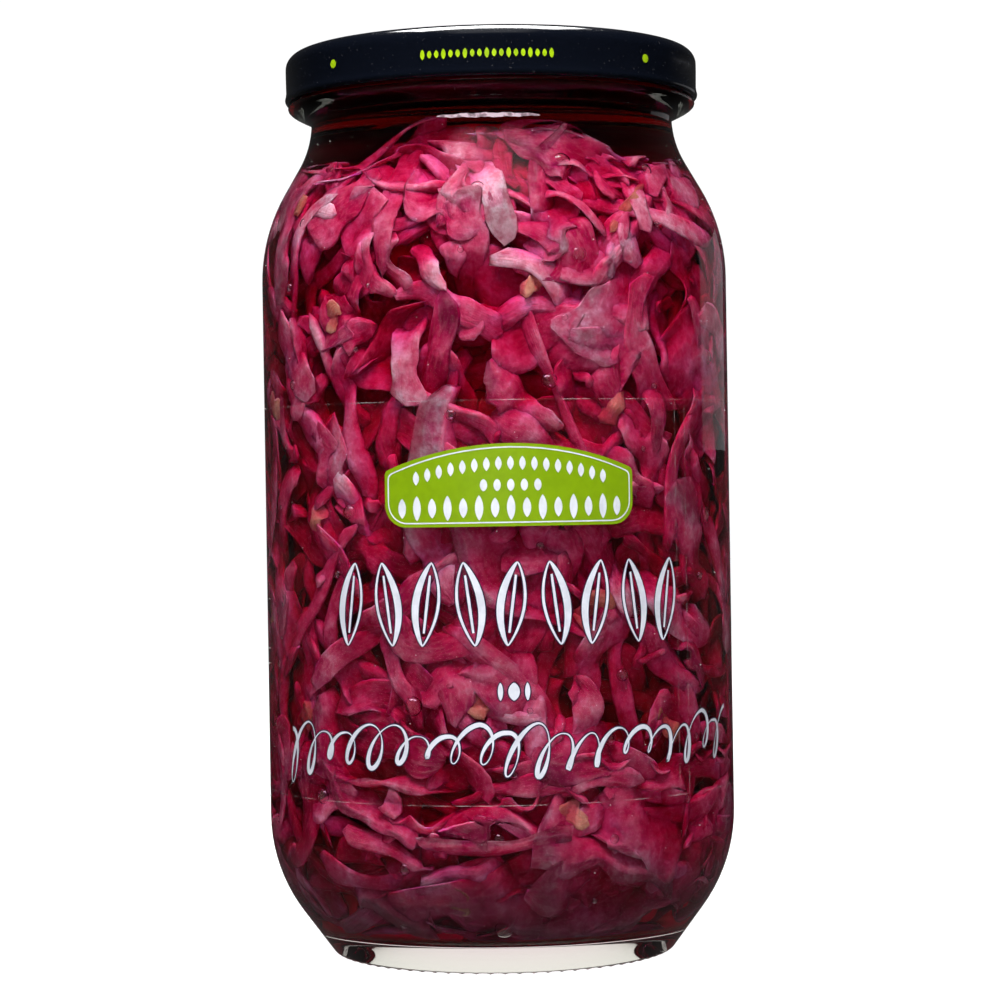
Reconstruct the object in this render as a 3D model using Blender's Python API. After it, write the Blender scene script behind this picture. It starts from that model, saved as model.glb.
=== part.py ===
"""A one-kilogram glass jar of shredded red cabbage with a black twist-off lid and a clear wrap-round label.

Units are metres. +Z is up, the origin is the centre of the jar's foot, and the label's front faces -Y.
"""

import math
import random

import bmesh
import bpy
from mathutils import Vector, noise

MM = 0.001
QUARTER = 0.5 * math.pi

# The jar's outside, from the foot up.
BODY_RADIUS = 48.0 * MM
FOOT_RADIUS = 34.9 * MM
FOOT_ROUNDING = 1.8 * MM
BEARING_INNER_RADIUS = 30.0 * MM
PUSH_UP = 3.0 * MM
HEEL_ANGLE = math.radians(36.5)
HEEL_RADIUS = 33.0 * MM
HEEL_TOP = 28.6 * MM
SHOULDER_BASE = 138.2 * MM
SHOULDER_RADIUS = 36.0 * MM
SHOULDER_ANGLE = math.radians(30.0)
NECK_RADIUS = 37.3 * MM
NECK_HEIGHT = 171.7 * MM
NECK_FILLET = 20.0 * MM
BEAD_RADIUS = 42.1 * MM
BEAD_BASE = 170.9 * MM
BEAD_TOP = 174.2 * MM
BEAD_EDGE = 0.5 * MM
BEAD_FLARE = 1.5
FINISH_RADIUS = 39.6 * MM
RIM_HEIGHT = 184.3 * MM
RIM_ROUNDING = 1.0 * MM

# The jar's inside.
WALL = 2.6 * MM
BORE_RADIUS = 36.2 * MM
FLOOR_EDGE = 7.0 * MM
FLOOR_DOME = 1.0 * MM
FLOOR_DOME_RADIUS = 16.0 * MM
FLOOR_FILLET = 7.0 * MM

# The lid, a shell of sheet metal with a curled edge, a recessed panel and a safety button.
LID_RADIUS = 42.7 * MM
SKIRT_RADIUS = 42.5 * MM
LID_BASE = 175.0 * MM
LID_TOP = 185.2 * MM
LID_CORNER = 3.0 * MM
LID_SHEET = 0.6 * MM
CURL_RADIUS = 0.9 * MM
PANEL_RADIUS = 35.4 * MM
PANEL_DROP = 1.2 * MM
PANEL_SLOPE = 1.3 * MM
BUTTON_RADIUS = 13.0 * MM
BUTTON_RISE = 0.6 * MM

# The label, a clear film whose ends overlap on the right of the front.
LABEL_BASE = 34.6 * MM
LABEL_TOP = 112.2 * MM
LABEL_GAP = 0.3 * MM
LABEL_THICKNESS = 0.2 * MM
SEAM_START = math.radians(46.6)
SEAM_END = math.radians(50.2)
SEAM_RAMP = math.radians(0.4)
SEAM_STEP = 0.12 * MM

# The cabbage, a core with shreds pressed against the glass and more across its top.
HEAP_BASE = 8.4 * MM
HEAP_TOP = 168.5 * MM
HEAP_CROWN = 3.0 * MM
CORE_INSET = 4.4 * MM
CORE_BUMP = 1.1 * MM
CORE_BUMP_SIZE = 16.0 * MM
SHRED_CLEARANCE = 0.8 * MM
SHRED_COUNT = 66
SHRED_LENGTHS = (26.0 * MM, 48.0 * MM)
LONG_SHRED = 38.0 * MM
SHRED_WIDTHS = (6.5 * MM, 11.5 * MM)
SHRED_THICKNESS = (4.2 * MM, 5.6 * MM)
SHRED_INSETS = (0.0 * MM, 1.8 * MM)
SHRED_TWIST = math.radians(18)
SHRED_BEND = 0.45
SHRED_TAPER = 0.45
SHRED_DIVE = 4.4 * MM
SHRED_MARGIN = 6.0 * MM
SPREAD_AROUND = 0.7548776662
SPREAD_UP = 0.5698402910
TOP_SHRED_COUNT = 9
TOP_SHRED_RINGS = (9.0 * MM, 20.0 * MM)
TOP_SHRED_RISE = 1.8 * MM
TOP_SHRED_DIVE = 1.5 * MM
HEAP_SEED = 4

GLASS_STEPS = 40
LID_STEPS = 40
LABEL_STEPS = 60
CORE_STEPS = 24
CORE_LEVELS = 17
ARC_STEP = math.radians(11.0)
FINE_ARC_STEP = math.radians(30.0)


def arc(centre, radius, start, end, step=ARC_STEP):
    """Points (r, z) round a centre, from one angle to another, both in radians."""
    count = max(1, round(abs(end - start) / step))
    angles = [start + (end - start) * k / count for k in range(count + 1)]
    return [(centre[0] + radius * math.cos(a), centre[1] + radius * math.sin(a)) for a in angles]


def jar_outside():
    """The outline (r, z) of the glass from the middle of its underside up to the rim."""
    shares = (0.0, 0.4, 0.7, 0.9, 1.0)
    underside = [(BEARING_INNER_RADIUS * s, PUSH_UP * (1 - s * s)) for s in shares]
    fillet_radius = FOOT_RADIUS - FOOT_ROUNDING * math.tan(0.5 * (QUARTER - HEEL_ANGLE))
    foot = arc((fillet_radius, FOOT_ROUNDING), FOOT_ROUNDING, -QUARTER, -HEEL_ANGLE, FINE_ARC_STEP)
    heel = arc((BODY_RADIUS - HEEL_RADIUS, HEEL_TOP), HEEL_RADIUS, -HEEL_ANGLE, 0)
    shoulder = arc((BODY_RADIUS - SHOULDER_RADIUS, SHOULDER_BASE), SHOULDER_RADIUS, 0, SHOULDER_ANGLE)
    neck_end = math.pi + math.asin((NECK_HEIGHT - BEAD_BASE) / NECK_FILLET)
    neck_centre = (NECK_RADIUS + NECK_FILLET, NECK_HEIGHT)
    neck = arc(neck_centre, NECK_FILLET, math.pi + SHOULDER_ANGLE, neck_end)
    bead = []
    for share in (0.25, 0.5, 0.75, 1.0):
        flare = math.sin(QUARTER * share) ** BEAD_FLARE
        radius = NECK_RADIUS + (BEAD_RADIUS - NECK_RADIUS) * flare
        bead.append((radius, BEAD_BASE + (BEAD_TOP - BEAD_BASE) * share))
    bead += [(BEAD_RADIUS - BEAD_EDGE, BEAD_TOP + 0.5 * BEAD_EDGE), (FINISH_RADIUS, BEAD_TOP + BEAD_EDGE)]
    rim_centre = (FINISH_RADIUS - RIM_ROUNDING, RIM_HEIGHT - RIM_ROUNDING)
    rim = arc(rim_centre, RIM_ROUNDING, 0, QUARTER, FINE_ARC_STEP)
    return underside + foot + heel + shoulder + neck + bead + rim


def jar_inside():
    """The outline (r, z) of the glass from the neck's bore down the inner wall to the edge of its floor."""
    bore = [(BORE_RADIUS, BEAD_TOP)]
    neck_centre = (NECK_RADIUS + NECK_FILLET, NECK_HEIGHT)
    neck = arc(neck_centre, NECK_FILLET + WALL, math.pi, math.pi + SHOULDER_ANGLE)
    shoulder_centre = (BODY_RADIUS - SHOULDER_RADIUS, SHOULDER_BASE)
    shoulder = arc(shoulder_centre, SHOULDER_RADIUS - WALL, SHOULDER_ANGLE, 0)
    heel_centre = (BODY_RADIUS - HEEL_RADIUS, HEEL_TOP)
    heel = arc(heel_centre, HEEL_RADIUS - WALL, 0, -HEEL_ANGLE)
    heel_end_radius, heel_end_height = heel[-1]
    fillet_rise = FLOOR_FILLET * (1 - math.sin(HEEL_ANGLE))
    fillet_reach = FLOOR_FILLET * math.cos(HEEL_ANGLE)
    cone_run = math.tan(HEEL_ANGLE) * (heel_end_height - FLOOR_EDGE - fillet_rise)
    floor_centre = (heel_end_radius - cone_run - fillet_reach, FLOOR_EDGE + FLOOR_FILLET)
    floor = arc(floor_centre, FLOOR_FILLET, -HEEL_ANGLE, -QUARTER, 2 * ARC_STEP)
    return bore + neck + shoulder + heel + floor


def jar_outline():
    """The whole outline (r, z) of the glass, from the middle of its underside to the middle of its floor."""
    rim_centre = (BORE_RADIUS + RIM_ROUNDING, RIM_HEIGHT - RIM_ROUNDING)
    rim = arc(rim_centre, RIM_ROUNDING, QUARTER, math.pi, FINE_ARC_STEP)
    floor_top = FLOOR_EDGE + FLOOR_DOME
    floor = [(FLOOR_DOME_RADIUS, floor_top - 0.2 * FLOOR_DOME), (0, floor_top)]
    return jar_outside() + rim + jar_inside() + floor


def wall_radius(height, inside):
    """The radius of the jar's inner wall at a height, from its outline with the lowest point first."""
    for (low_radius, low), (high_radius, high) in zip(inside, inside[1:]):
        if low <= height <= high:
            return low_radius + (high_radius - low_radius) * (height - low) / (high - low)
    raise ValueError(f"no wall at {height}")


def lid_outline():
    """The outline (r, z) of the lid, over its top, round its curl and back up inside."""
    corner = (SKIRT_RADIUS - LID_CORNER, LID_TOP - LID_CORNER)
    panel = LID_TOP - PANEL_DROP
    top = [
        (0, panel + BUTTON_RISE),
        (BUTTON_RADIUS - 2 * BUTTON_RISE, panel + BUTTON_RISE),
        (BUTTON_RADIUS, panel),
        (PANEL_RADIUS - PANEL_SLOPE, panel),
        (PANEL_RADIUS, panel + 0.8 * PANEL_DROP),
        (PANEL_RADIUS + PANEL_SLOPE, LID_TOP),
    ]
    rounded = arc(corner, LID_CORNER, QUARTER, 0, math.radians(18))
    curl_centre = (LID_RADIUS - CURL_RADIUS, LID_BASE + CURL_RADIUS)
    curl = arc(curl_centre, CURL_RADIUS, math.radians(30), math.radians(-240), math.radians(45))
    inside = [(SKIRT_RADIUS - LID_SHEET, LID_BASE + 2.6 * CURL_RADIUS)]
    inside += arc(corner, LID_CORNER - LID_SHEET, 0, QUARTER, FINE_ARC_STEP)
    under_panel = panel - LID_SHEET
    inside += [(PANEL_RADIUS + LID_SHEET, LID_TOP - LID_SHEET), (PANEL_RADIUS - PANEL_SLOPE, under_panel)]
    return top + rounded + curl + inside + [(0, under_panel)]


def turned(name, outline, steps):
    """A solid of revolution about Z from an outline that starts and ends on the axis."""
    shape = bmesh.new()
    points = [shape.verts.new((r, 0, z)) for r, z in outline]
    edges = [shape.edges.new(pair) for pair in zip(points, points[1:])]
    bmesh.ops.spin(shape, geom=points + edges, axis=(0, 0, 1), angle=math.tau, steps=steps)
    bmesh.ops.remove_doubles(shape, verts=shape.verts, dist=0.001 * MM)
    return placed(name, shape)


def placed(name, shape):
    """Makes a closed bmesh into a smooth-shaded object of the scene, with its faces turned outwards."""
    bmesh.ops.recalc_face_normals(shape, faces=shape.faces)
    mesh = bpy.data.meshes.new(name)
    shape.to_mesh(mesh)
    shape.free()
    mesh.shade_smooth()
    mesh.set_sharp_from_angle(angle=math.radians(40))
    result = bpy.data.objects.new(name, mesh)
    bpy.context.scene.collection.objects.link(result)
    return result


def loft(shape, sections, closed):
    """Joins each ring of vertices to the next, and the last to the first of a closed run."""
    pairs = list(zip(sections, sections[1:]))
    if closed:
        pairs.append((sections[-1], sections[0]))
    for here, there in pairs:
        for k in range(len(here)):
            shape.faces.new((here[k - 1], here[k], there[k], there[k - 1]))


def label_film():
    """The clear film, a thin band round the jar that is thicker where its ends overlap."""
    inner = BODY_RADIUS + LABEL_GAP
    outer = inner + LABEL_THICKNESS
    angles = [math.tau * k / LABEL_STEPS for k in range(LABEL_STEPS)]
    columns = [(angle, outer) for angle in angles if not SEAM_START < angle < SEAM_END]
    columns += [(SEAM_START, outer), (SEAM_START + SEAM_RAMP, outer + SEAM_STEP)]
    columns += [(SEAM_END - SEAM_RAMP, outer + SEAM_STEP), (SEAM_END, outer)]
    shape = bmesh.new()
    sections = []
    for angle, radius in sorted(columns):
        out = Vector((math.sin(angle), -math.cos(angle), 0))
        corners = [(inner, LABEL_BASE), (radius, LABEL_BASE), (radius, LABEL_TOP), (inner, LABEL_TOP)]
        sections.append([shape.verts.new(out * r + Vector((0, 0, z))) for r, z in corners])
    loft(shape, sections, closed=True)
    return placed("label_film", shape)


def on_wall(across, height, inset, inside):
    """A point at a distance round the jar from its front, at a height, and at a distance in from the wall."""
    height = min(max(height, HEAP_BASE), HEAP_TOP + TOP_SHRED_RISE)
    angle = across / (BODY_RADIUS - WALL)
    radius = wall_radius(height, inside) - max(inset, SHRED_CLEARANCE)
    return Vector((radius * math.sin(angle), -radius * math.cos(angle), height))


def heap_core(inside):
    """The closed core behind the shreds, with an uneven surface."""
    around = math.tau * (BODY_RADIUS - WALL)
    core_top = HEAP_TOP - HEAP_CROWN
    shape = bmesh.new()
    rings = []
    for level in range(CORE_LEVELS):
        height = HEAP_BASE + (core_top - HEAP_BASE) * level / (CORE_LEVELS - 1)
        ring = []
        for k in range(CORE_STEPS):
            across = around * k / CORE_STEPS
            smooth = on_wall(across, height, CORE_INSET, inside)
            bump = CORE_BUMP * noise.noise(smooth / CORE_BUMP_SIZE)
            ring.append(shape.verts.new(on_wall(across, height, CORE_INSET + bump, inside)))
        rings.append(ring)
    loft(shape, rings, closed=False)
    for ring, height in ((rings[0], HEAP_BASE), (rings[-1], HEAP_TOP)):
        middle = shape.verts.new((0, 0, height))
        for k in range(CORE_STEPS):
            shape.faces.new((ring[k - 1], ring[k], middle))
    return placed("cabbage", shape)


def shred(name, draw, place):
    """One shred: a bent, twisted strip, flat outside and with a keel inside, of random size and heading.

    place turns distances across, up and in, with the share of the way to the strip's end, into a point.
    """
    length = draw.uniform(*SHRED_LENGTHS)
    width = draw.uniform(*SHRED_WIDTHS)
    keel = draw.uniform(*SHRED_THICKNESS)
    twist = draw.uniform(-SHRED_TWIST, SHRED_TWIST)
    bend = draw.uniform(-SHRED_BEND, SHRED_BEND)
    heading = draw.uniform(0, math.pi)
    segments = 5 if length > LONG_SHRED else 4
    shape = bmesh.new()
    sections = []
    for k in range(segments + 1):
        share = 2 * k / segments - 1
        along = 0.5 * length * share
        half_width = 0.5 * width * (1 - SHRED_TAPER * abs(share) ** 3)
        turn = twist * share
        way = heading + bend * share
        section = []
        for side, depth in ((0, keel), (half_width, 0), (-half_width, 0)):
            sideways = side * math.cos(turn) + depth * math.sin(turn)
            sunk = depth * math.cos(turn) - side * math.sin(turn)
            across = along * math.cos(way) - sideways * math.sin(way)
            up = along * math.sin(way) + sideways * math.cos(way)
            section.append(shape.verts.new(place(across, up, sunk, share)))
        sections.append(section)
    loft(shape, sections, closed=False)
    shape.faces.new(sections[0])
    shape.faces.new(sections[-1])
    return placed(name, shape)


def wall_shred(index, draw, inside):
    """A shred against the glass, at an evenly spread place round and up the jar, with its ends diving in."""
    around = math.tau * (BODY_RADIUS - WALL)
    lowest = HEAP_BASE + SHRED_MARGIN
    centre_across = around * (index * SPREAD_AROUND % 1)
    centre_height = lowest + (HEAP_TOP - SHRED_MARGIN - lowest) * (index * SPREAD_UP % 1)
    inset = draw.uniform(*SHRED_INSETS)

    def place(across, up, sunk, share):
        depth = inset + sunk + SHRED_DIVE * share**4
        return on_wall(centre_across + across, centre_height + up, depth, inside)

    return shred(f"wall_shred_{index}", draw, place)


def top_shred(index, draw):
    """A short shred that lies across the top of the heap, in the jar's neck."""
    angle = math.tau * index / TOP_SHRED_COUNT
    distance = TOP_SHRED_RINGS[index % 2]
    centre = Vector((distance * math.cos(angle), distance * math.sin(angle), HEAP_TOP + TOP_SHRED_RISE))

    def place(across, up, sunk, share):
        return centre + Vector((0.5 * across, 0.5 * up, -sunk - TOP_SHRED_DIVE * share**2))

    return shred(f"top_shred_{index}", draw, place)


def joined_with(core, collection):
    """Makes the core and the collection's objects one mesh, and removes those objects."""
    union = core.modifiers.new("union", "BOOLEAN")
    union.operation = "UNION"
    union.operand_type = "COLLECTION"
    union.collection = collection
    union.solver = "MANIFOLD"
    graph = bpy.context.evaluated_depsgraph_get()
    mesh = bpy.data.meshes.new_from_object(core.evaluated_get(graph))
    core.modifiers.clear()
    core.data = mesh
    for piece in list(collection.objects):
        bpy.data.objects.remove(piece)
    bpy.data.collections.remove(collection)


def keep_largest_surface(target):
    """Keeps a mesh's largest closed surface, in triangles: loose scraps go, and sealed hollows are filled."""
    shape = bmesh.new()
    shape.from_mesh(target.data)
    bmesh.ops.triangulate(shape, faces=shape.faces)
    unseen = set(shape.verts)
    surfaces = []
    while unseen:
        surface = {unseen.pop()}
        front = set(surface)
        while front:
            front = {edge.other_vert(v) for v in front for edge in v.link_edges} & unseen
            unseen -= front
            surface |= front
        surfaces.append(surface)
    largest = max(surfaces, key=len)
    loose = [v for v in shape.verts if v not in largest]
    bmesh.ops.delete(shape, geom=loose, context="VERTS")
    shape.to_mesh(target.data)
    shape.free()


def cabbage_heap():
    """The core and its shreds as one solid."""
    draw = random.Random(HEAP_SEED)
    inside = jar_inside()[::-1]
    core = heap_core(inside)
    shreds = bpy.data.collections.new("shreds")
    bpy.context.scene.collection.children.link(shreds)
    pieces = [wall_shred(k, draw, inside) for k in range(SHRED_COUNT)]
    pieces += [top_shred(k, draw) for k in range(TOP_SHRED_COUNT)]
    for piece in pieces:
        bpy.context.scene.collection.objects.unlink(piece)
        shreds.objects.link(piece)
    joined_with(core, shreds)
    keep_largest_surface(core)
    core.data.set_sharp_from_angle(angle=math.radians(30))
    return core


def finish(target, name, colour, roughness, transmission=0.0):
    """Gives an object its own Principled material."""
    material = bpy.data.materials.new(name)
    material.use_nodes = True
    shader = material.node_tree.nodes["Principled BSDF"]
    shader.inputs["Base Color"].default_value = (*colour, 1.0)
    shader.inputs["Roughness"].default_value = roughness
    shader.inputs["Metallic"].default_value = 0.0
    shader.inputs["Transmission Weight"].default_value = transmission
    target.data.materials.clear()
    target.data.materials.append(material)


def main():
    for old in list(bpy.data.objects):
        bpy.data.objects.remove(old)
    glass = turned("jar_glass", jar_outline(), GLASS_STEPS)
    finish(glass, "clear_glass", (0.95, 0.97, 0.94), 0.03, transmission=1.0)
    lid = turned("lid", lid_outline(), LID_STEPS)
    finish(lid, "black_lacquer", (0.012, 0.012, 0.016), 0.25)
    finish(label_film(), "clear_film", (0.95, 0.95, 0.95), 0.2, transmission=1.0)
    finish(cabbage_heap(), "pickled_cabbage", (0.42, 0.03, 0.09), 0.45)


main()
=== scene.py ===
"""The looks of the jar of red cabbage: glass, brine, shreds, bubbles, lid, label film and its print.

Units are metres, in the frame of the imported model: +Z is up, and the front of the label faces -Y.
"""

import math
import random

import bmesh
import bpy
import numpy as np
from mathutils import Matrix, Vector

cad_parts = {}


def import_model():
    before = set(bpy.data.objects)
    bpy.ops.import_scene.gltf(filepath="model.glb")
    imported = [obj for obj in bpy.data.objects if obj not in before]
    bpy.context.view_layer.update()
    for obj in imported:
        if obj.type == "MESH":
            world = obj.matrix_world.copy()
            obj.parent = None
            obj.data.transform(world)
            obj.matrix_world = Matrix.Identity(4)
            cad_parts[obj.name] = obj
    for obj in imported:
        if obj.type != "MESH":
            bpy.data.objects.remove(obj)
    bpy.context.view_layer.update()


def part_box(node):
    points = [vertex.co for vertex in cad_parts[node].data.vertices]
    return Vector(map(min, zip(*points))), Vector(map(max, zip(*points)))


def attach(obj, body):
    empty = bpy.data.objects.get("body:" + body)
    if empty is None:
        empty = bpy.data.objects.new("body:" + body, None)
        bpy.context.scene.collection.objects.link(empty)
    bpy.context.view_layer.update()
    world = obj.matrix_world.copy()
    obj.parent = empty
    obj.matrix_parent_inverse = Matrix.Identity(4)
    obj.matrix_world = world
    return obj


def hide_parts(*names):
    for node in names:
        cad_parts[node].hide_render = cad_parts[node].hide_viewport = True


MM = 0.001
QUARTER = 0.5 * math.pi

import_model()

# The glass, with the radii and heights of the solid.
BODY_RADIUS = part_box("jar_glass")[1].x
FOOT_RADIUS = 34.9 * MM
FOOT_ROUNDING = 1.8 * MM
BEARING_INNER_RADIUS = 30.0 * MM
PUSH_UP = 3.0 * MM
HEEL_ANGLE = math.radians(36.5)
HEEL_RADIUS = 33.0 * MM
HEEL_TOP = 28.6 * MM
SHOULDER_BASE = 138.2 * MM
SHOULDER_RADIUS = 36.0 * MM
SHOULDER_ANGLE = math.radians(30.0)
NECK_RADIUS = 37.3 * MM
NECK_HEIGHT = 171.7 * MM
NECK_FILLET = 20.0 * MM
HEEL_CENTRE = (BODY_RADIUS - HEEL_RADIUS, HEEL_TOP)
SHOULDER_CENTRE = (BODY_RADIUS - SHOULDER_RADIUS, SHOULDER_BASE)
NECK_CENTRE = (NECK_RADIUS + NECK_FILLET, NECK_HEIGHT)
BEAD_RADIUS = 42.1 * MM
BEAD_BASE = 170.9 * MM
BEAD_TOP = 174.2 * MM
BEAD_EDGE = 0.5 * MM
BEAD_FLARE = 1.5
FINISH_RADIUS = 39.6 * MM
RIM_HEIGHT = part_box("jar_glass")[1].z
RIM_ROUNDING = 1.0 * MM
WALL = 2.6 * MM
BORE_RADIUS = 36.2 * MM
BORE_FOOT = BEAD_TOP + 1.6 * MM
FLOOR_EDGE = 7.0 * MM
FLOOR_DOME = 1.0 * MM
FLOOR_FILLET = 7.0 * MM
STUD_COUNT = 76
STUD_DEPTH = 0.75 * MM
STUD_RADIUS = 33.2 * MM
STUD_REACH = 1.9 * MM
STUD_TOP = 0.8 * MM
GLASS_STEPS = 4 * STUD_COUNT
GLASS_IOR = 1.5

# The lid.
LID_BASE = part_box("lid")[0].z
LID_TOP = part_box("lid")[1].z
LID_RADIUS = 42.7 * MM
SKIRT_RADIUS = 42.5 * MM
LID_CORNER = 3.0 * MM
LID_SHEET = 0.6 * MM
CURL_RADIUS = 0.9 * MM
PANEL_RADIUS = 35.4 * MM
PANEL_DROP = 1.2 * MM
PANEL_SLOPE = 1.3 * MM
BUTTON_RADIUS = 13.0 * MM
BUTTON_RISE = 0.6 * MM
LID_STEPS = 192
LID_DOTS = (math.radians(-46.9), math.radians(45.9))
LID_DOT_HEIGHT = 179.6 * MM
LID_MARK_HEIGHT = 179.3 * MM
LID_MARKS = 19

# The brine, which reaches into the glass so that no air shows between them.
BRINE_REACH = 0.02 * MM
BRINE_TOP = 178.0 * MM
BRINE_IOR = 1.34
BRINE_COLOUR = (0.900, 0.02, 0.60)
BRINE_DENSITY = 500.0
WET_GLASS_IOR = 1.07

# Bubbles in the brine, with their depth as a share of their width, and a thin pale line on it that glows, a painted
# highlight.
BUBBLE_COUNT = 120
BUBBLE_FLAT = 0.55
HIGHLIGHT_LINE_HEIGHT = 168.0 * MM
HIGHLIGHT_LINE_START = math.radians(-17.5)
HIGHLIGHT_LINE_ANGLE = math.radians(33.0)
HIGHLIGHT_LINE_HALF = 0.50 * MM

# The label film and its print.
LABEL_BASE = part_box("label_film")[0].z
LABEL_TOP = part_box("label_film")[1].z
FILM_INNER = BODY_RADIUS + 0.03 * MM
FILM_OUTER = BODY_RADIUS + 0.08 * MM
FILM_EDGE = 0.14 * MM
SEAM_START = math.radians(46.6)
SEAM_END = math.radians(50.2)
INK_BACK = BODY_RADIUS + 0.10 * MM
INK_FRONT = BODY_RADIUS + 0.13 * MM
PRINT_TURN = math.radians(3.1)
LEAF_MARKS = 9
LEAF_SPACING = 8.3 * MM
LEAF_FOOT = 65.2 * MM
LEAF_HEIGHT = 16.0 * MM
LEAF_WIDTH = 4.6 * MM
SCRIPT_HEIGHT = 46.0 * MM
SCRIPT_TURNS = 19

# The cabbage. Its heap stands highest at the front and the back, and its shreds lie flat near the jar's foot.
HEAP_TOP = 168.5 * MM
HEAP_SAG = 8.5 * MM
CORE_INSET = 7.5 * MM
HEAP_SEED = 7
SPREAD_AROUND = 0.7548776662
SPREAD_UP = 0.5698402910
FLAT_SHARE = 0.24
# Layers of shreds: how many, the least and the greatest inset from the glass, and where up the wall they start.
LAYERS = (
    (360, 0.3 * MM, 2.2 * MM, 0.02),
    (370, 2.0 * MM, 4.6 * MM, 0.02),
    (330, 4.4 * MM, 7.6 * MM, 0.02),
    (90, 0.6 * MM, 4.0 * MM, 0.86),
)
# Shares of the shreds that are ribs, leaves (more of them near the foot) and narrow strips. The rest are wide.
RIBS_TO = 0.16
LEAVES_TO = 0.33
LEAVES_TO_AT_FOOT = 0.54
STRIPS_TO = 0.72
SCRAP_COUNT = 170
FLECK_COUNT = 36
# The colours of leaf and of the tan bits, from the darkest to the palest.
LEAF = (
    (0.0, (0.20, 0.001, 0.030)),
    (0.30, (0.30, 0.008, 0.058)),
    (0.55, (0.38, 0.058, 0.115)),
    (0.78, (0.45, 0.165, 0.215)),
    (1.0, (0.57, 0.35, 0.39)),
)
TAN = (
    (0.0, (0.20, 0.045, 0.035)),
    (0.5, (0.33, 0.13, 0.070)),
    (1.0, (0.47, 0.27, 0.155)),
)

# The studio's light: all round, in reflections of its front and its back, and behind the jar as seen.
AMBIENT = 0.065
SHINE_FRONT = 0.003
SHINE_BACK = 0.03
WHITE = 1.05
THROUGH_GLASS = (0.90, 0.955, 0.83)
FLOOR_RADIUS = 4.0

# The camera, at the photograph's distance and angle.
CAMERA_DISTANCE = 590.0 * MM
CAMERA_HEIGHT = 95.3 * MM
CAMERA_ASIDE = 0.5 * MM
CAMERA_PITCH = math.radians(0.24)
CAMERA_ROLL = math.radians(0.92)
CAMERA_LENS = 102.2


def arc(centre, radius, start, end, count):
    """Points (r, z) round a centre, from one angle to another, both in radians."""
    angles = [start + (end - start) * k / count for k in range(count + 1)]
    return [(centre[0] + radius * math.cos(a), centre[1] + radius * math.sin(a)) for a in angles]


def jar_outside():
    """The outline (r, z) of the glass from the middle of its underside up to the rim."""
    underside = [(BEARING_INNER_RADIUS * k / 12, PUSH_UP * (1 - (k / 12) ** 2)) for k in range(13)]
    fillet_radius = FOOT_RADIUS - FOOT_ROUNDING * math.tan(0.5 * (QUARTER - HEEL_ANGLE))
    bearing = [(BEARING_INNER_RADIUS + (fillet_radius - BEARING_INNER_RADIUS) * k / 4, 0) for k in (1, 2, 3)]
    foot = arc((fillet_radius, FOOT_ROUNDING), FOOT_ROUNDING, -QUARTER, -HEEL_ANGLE, 6)
    heel = arc(HEEL_CENTRE, HEEL_RADIUS, -HEEL_ANGLE, 0, 10)
    side = [(BODY_RADIUS, HEEL_TOP + (SHOULDER_BASE - HEEL_TOP) * k / 6) for k in range(1, 6)]
    shoulder = arc(SHOULDER_CENTRE, SHOULDER_RADIUS, 0, SHOULDER_ANGLE, 10)
    neck_end = math.pi + math.asin((NECK_HEIGHT - BEAD_BASE) / NECK_FILLET)
    neck = arc(NECK_CENTRE, NECK_FILLET, math.pi + SHOULDER_ANGLE, neck_end, 8)
    bead = []
    for k in range(1, 9):
        flare = math.sin(QUARTER * k / 8) ** BEAD_FLARE
        radius = NECK_RADIUS + (BEAD_RADIUS - NECK_RADIUS) * flare
        bead.append((radius, BEAD_BASE + (BEAD_TOP - BEAD_BASE) * k / 8))
    bead += arc((BEAD_RADIUS - BEAD_EDGE, BEAD_TOP), BEAD_EDGE, 0, QUARTER, 3)[1:]
    bead += [(FINISH_RADIUS, BEAD_TOP + BEAD_EDGE)]
    rim_centre = (FINISH_RADIUS - RIM_ROUNDING, RIM_HEIGHT - RIM_ROUNDING)
    rim = arc(rim_centre, RIM_ROUNDING, 0, QUARTER, 4)
    return underside + bearing + foot + heel + side + shoulder + neck + bead + rim


def jar_inside(reach=0.0):
    """The outline (r, z) of the inner wall from the neck's bore to the floor's edge, moved into the glass."""
    neck = arc(NECK_CENTRE, NECK_FILLET + WALL - reach, math.pi, math.pi + SHOULDER_ANGLE, 8)
    shoulder = arc(SHOULDER_CENTRE, SHOULDER_RADIUS - WALL + reach, SHOULDER_ANGLE, 0, 10)
    side_radius = BODY_RADIUS - WALL + reach
    side = [(side_radius, SHOULDER_BASE - (SHOULDER_BASE - HEEL_TOP) * k / 6) for k in range(1, 6)]
    heel = arc(HEEL_CENTRE, HEEL_RADIUS - WALL + reach, 0, -HEEL_ANGLE, 10)
    end_radius = HEEL_CENTRE[0] + (HEEL_RADIUS - WALL) * math.cos(HEEL_ANGLE)
    end_height = HEEL_TOP - (HEEL_RADIUS - WALL) * math.sin(HEEL_ANGLE)
    fillet_rise = FLOOR_FILLET * (1 - math.sin(HEEL_ANGLE))
    cone_run = math.tan(HEEL_ANGLE) * (end_height - FLOOR_EDGE - fillet_rise)
    floor_radius = end_radius - cone_run - FLOOR_FILLET * math.cos(HEEL_ANGLE)
    floor = arc((floor_radius, FLOOR_EDGE + FLOOR_FILLET), FLOOR_FILLET + reach, -HEEL_ANGLE, -QUARTER, 8)
    return [(BORE_RADIUS + reach, BORE_FOOT)] + neck + shoulder + side + heel + floor


def floor_outline(reach=0.0):
    """The jar's floor, from its edge to its middle."""
    edge = jar_inside(reach)[-1]
    return [(edge[0] * (1 - k / 6), edge[1] + FLOOR_DOME * (1 - (1 - k / 6) ** 2)) for k in range(1, 7)]


def inner_radius(height):
    """The radius of the jar's inner wall at a height."""
    wall = np.array(jar_inside()[::-1])
    return np.interp(height, wall[:, 1], wall[:, 0])


def round_jar(angle, radius, height):
    """The point at an angle from the label's front, at a radius and a height."""
    return Vector((radius * math.sin(angle), -radius * math.cos(angle), height))


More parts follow.
